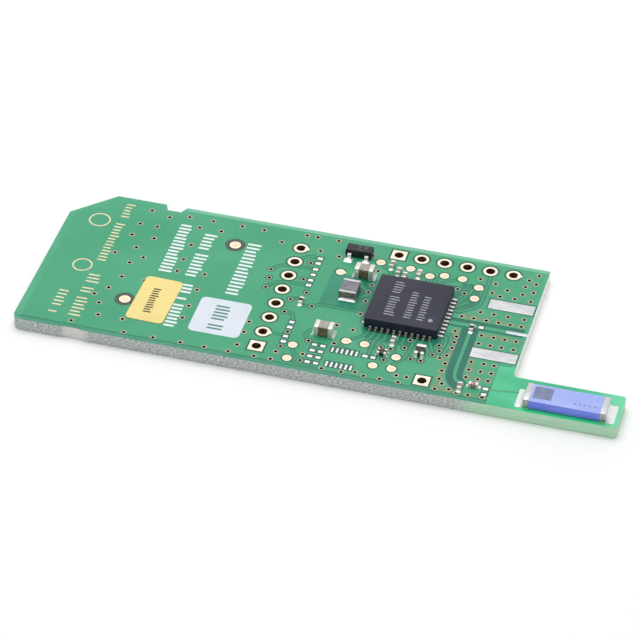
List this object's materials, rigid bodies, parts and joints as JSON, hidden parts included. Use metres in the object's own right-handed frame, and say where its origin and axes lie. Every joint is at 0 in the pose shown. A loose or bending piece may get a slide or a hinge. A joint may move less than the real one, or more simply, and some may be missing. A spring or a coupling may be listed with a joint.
{
  "type": "wifi module",
  "caption": "Card-shaped circuit module: green laminate with a header row, a leadless radio chip, a small regulator, chip parts, and a ceramic antenna on a side tongue",
  "frame": {"origin": "on the underside plane, under the middle of the board's whole outline, tongue included", "axes": "+X from the card contacts to the antenna tongue, +Y towards the edge with the lock notch, +Z out of the face that carries the parts"},
  "size_m": [0.065, 0.024, 0.0026],
  "materials": {
    "board": "green solder mask over glass laminate",
    "plated_copper": "pale tin and gold finish on copper",
    "gold_contact": "hard gold over nickel",
    "solder": "bright reflowed solder",
    "tinned_end": "satin tin",
    "moulding": "moulded resin, fine grain",
    "capacitor_ceramic": "fired ceramic, satin",
    "pink_ceramic": "fired ceramic, satin",
    "white_ceramic": "fired alumina, matt",
    "dark_ceramic": "fired ceramic, satin",
    "blue_ceramic": "fired ceramic, satin",
    "ferrite": "sintered ferrite, satin",
    "resistor_coat": "black overglaze",
    "yellow_paper": "coated yellow paper",
    "white_ink": "matt white ink"
  },
  "bodies": {
    "root": {"antenna_body": "blue_ceramic", "antenna_solder": "solder", "antenna_terminals": "tinned_end", "balun_body": "dark_ceramic", "balun_terminals": "tinned_end", "band_filter_body": "dark_ceramic", "band_filter_terminals": "tinned_end", "bypass_capacitor_1_body": "capacitor_ceramic", "bypass_capacitor_1_ends": "tinned_end", "bypass_capacitor_2_body": "capacitor_ceramic", "bypass_capacitor_2_ends": "tinned_end", "bypass_capacitor_3_body": "capacitor_ceramic", "bypass_capacitor_3_ends": "tinned_end", "bypass_capacitor_4_body": "capacitor_ceramic", "bypass_capacitor_4_ends": "tinned_end", "bypass_capacitor_5_body": "capacitor_ceramic", "bypass_capacitor_5_ends": "tinned_end", "card_contacts": "gold_contact", "chip_part_solder": "solder", "comb_lands": "solder", "corner_part_solder": "solder", "feed_resistor_body": "white_ceramic", "feed_resistor_ends": "tinned_end", "fiducial_pads": "plated_copper", "filter_bead_body": "pink_ceramic", "filter_bead_ends": "tinned_end", "ground_eyelet": "plated_copper", "header_eyelets": "plated_copper", "header_resistor_body": "white_ceramic", "header_resistor_ends": "tinned_end", "input_capacitor_body": "capacitor_ceramic", "input_capacitor_ends": "tinned_end", "laminate": "board", "launch_pads": "plated_copper", "matching_inductor_body": "pink_ceramic", "matching_inductor_ends": "tinned_end", "output_capacitor_body": "capacitor_ceramic", "output_capacitor_ends": "tinned_end", "paper_label": "yellow_paper", "power_inductor_body": "ferrite", "power_inductor_ends": "tinned_end", "regulator_body": "moulding", "regulator_leads": "solder", "regulator_solder": "solder", "resistor_coats": "resistor_coat", "service_eyelets": "plated_copper", "spare_lands": "solder", "test_pads": "plated_copper", "wifi_chip_body": "moulding", "wifi_chip_ground_pad": "solder", "wifi_chip_lands": "solder", "wifi_chip_solder": "solder", "writing_panel": "white_ink"}
  },
  "joints": []
}
